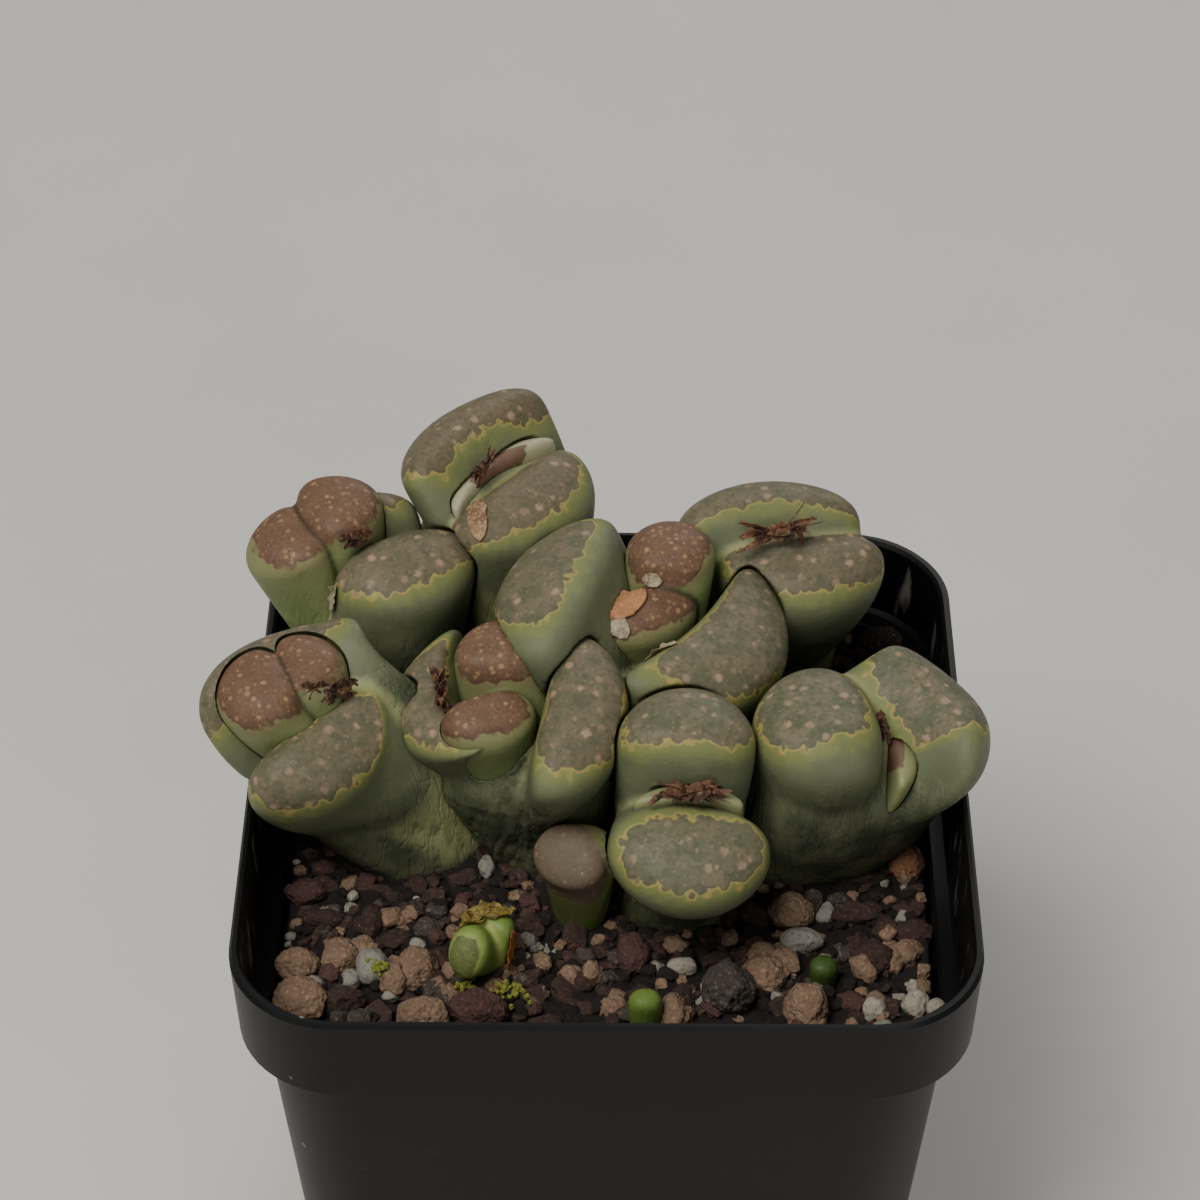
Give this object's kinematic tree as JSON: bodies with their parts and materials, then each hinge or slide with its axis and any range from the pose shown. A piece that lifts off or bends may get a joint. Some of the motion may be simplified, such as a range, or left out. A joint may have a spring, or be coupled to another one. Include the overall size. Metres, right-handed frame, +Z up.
{
  "type": "potted lithops",
  "caption": "Clump of living stone succulents with fat paired leaves, window tops and dried flowers, standing in gritty soil in a square black nursery pot.",
  "frame": {"origin": "centre of the flat underside of the pot", "axes": "+Z up out of the pot; -Y towards the side that the picture is taken from; +X to the right in the picture"},
  "size_m": [0.0981, 0.0955, 0.1024],
  "materials": {
    "pot_plastic": "matte black injection-moulded plastic, a little scuffed and limescaled",
    "soil": "loose dark bark compost with pumice, lava and perlite grit",
    "old_leaf": "smooth waxy leaf skin, grey-green window above a jagged yellow margin",
    "young_leaf": "smooth waxy leaf skin, brown-pink window above green sides",
    "seedling": "smooth waxy green leaf skin",
    "dried_flower": "withered brown flower remains",
    "dry_skin": "dry papery old leaf skin"
  },
  "bodies": {
    "root": {"pot": "pot_plastic", "soil": "soil", "leaves_front": "old_leaf", "leaves_left": "old_leaf", "leaves_mid_left": "old_leaf", "leaves_right": "old_leaf", "leaves_centre": "old_leaf", "leaves_back_left": "old_leaf", "leaves_back_right": "old_leaf", "leaves_back": "old_leaf", "young_front": "young_leaf", "young_left": "young_leaf", "young_mid_left": "young_leaf", "young_right": "young_leaf", "young_centre": "young_leaf", "young_back_left": "young_leaf", "young_back": "young_leaf", "seedling_round": "seedling", "seedling_torn": "seedling", "seedling_front": "seedling", "seedling_right": "seedling", "flower_back": "dried_flower", "flower_back_left": "dried_flower", "flower_left": "dried_flower", "flower_mid_left": "dried_flower", "flower_back_right": "dried_flower", "flower_front": "dried_flower", "flower_right": "dried_flower", "scrap_back": "dry_skin", "scrap_centre": "dry_skin"}
  },
  "joints": []
}
